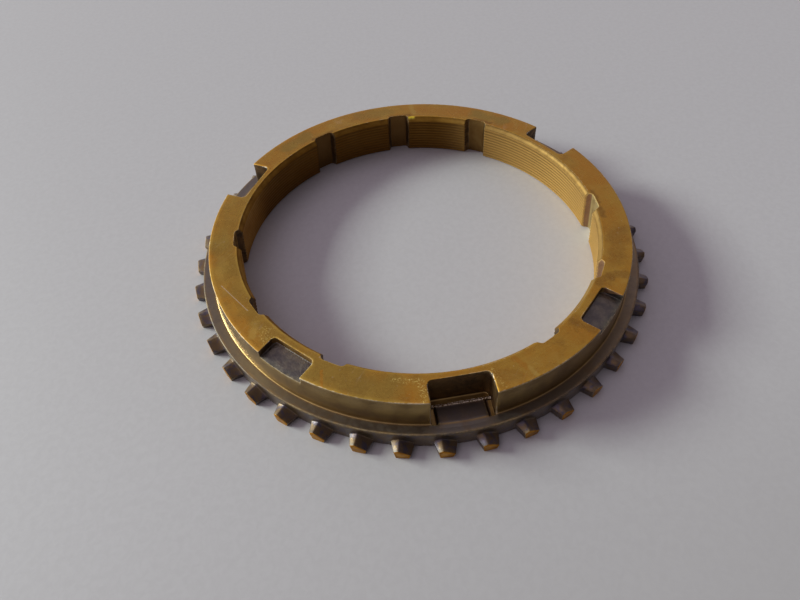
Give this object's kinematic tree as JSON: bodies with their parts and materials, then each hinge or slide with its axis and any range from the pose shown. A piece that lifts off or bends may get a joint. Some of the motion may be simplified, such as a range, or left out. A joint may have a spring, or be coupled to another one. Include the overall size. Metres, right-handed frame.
{
  "type": "synchronizer ring",
  "caption": "Brass ring of a manual gearbox, with a friction cone inside, blocking teeth round its flange, and notches for the sliding keys in its upper wall.",
  "frame": {"origin": "on the ring's axis, in the plane of its gear-side face, which is its lowest plane", "axes": "+Z along the ring's axis from the gear side to the hub side, -Y through the middle of the key notch that lies between the two marking pockets"},
  "size_m": [0.0736, 0.0736, 0.0076],
  "materials": {
    "aged_brass": "turned and stained by oil, with dark as-forged faces on the flange, the teeth and the notch floors"
  },
  "bodies": {
    "root": {"synchronizer_ring": "aged_brass"}
  },
  "joints": []
}
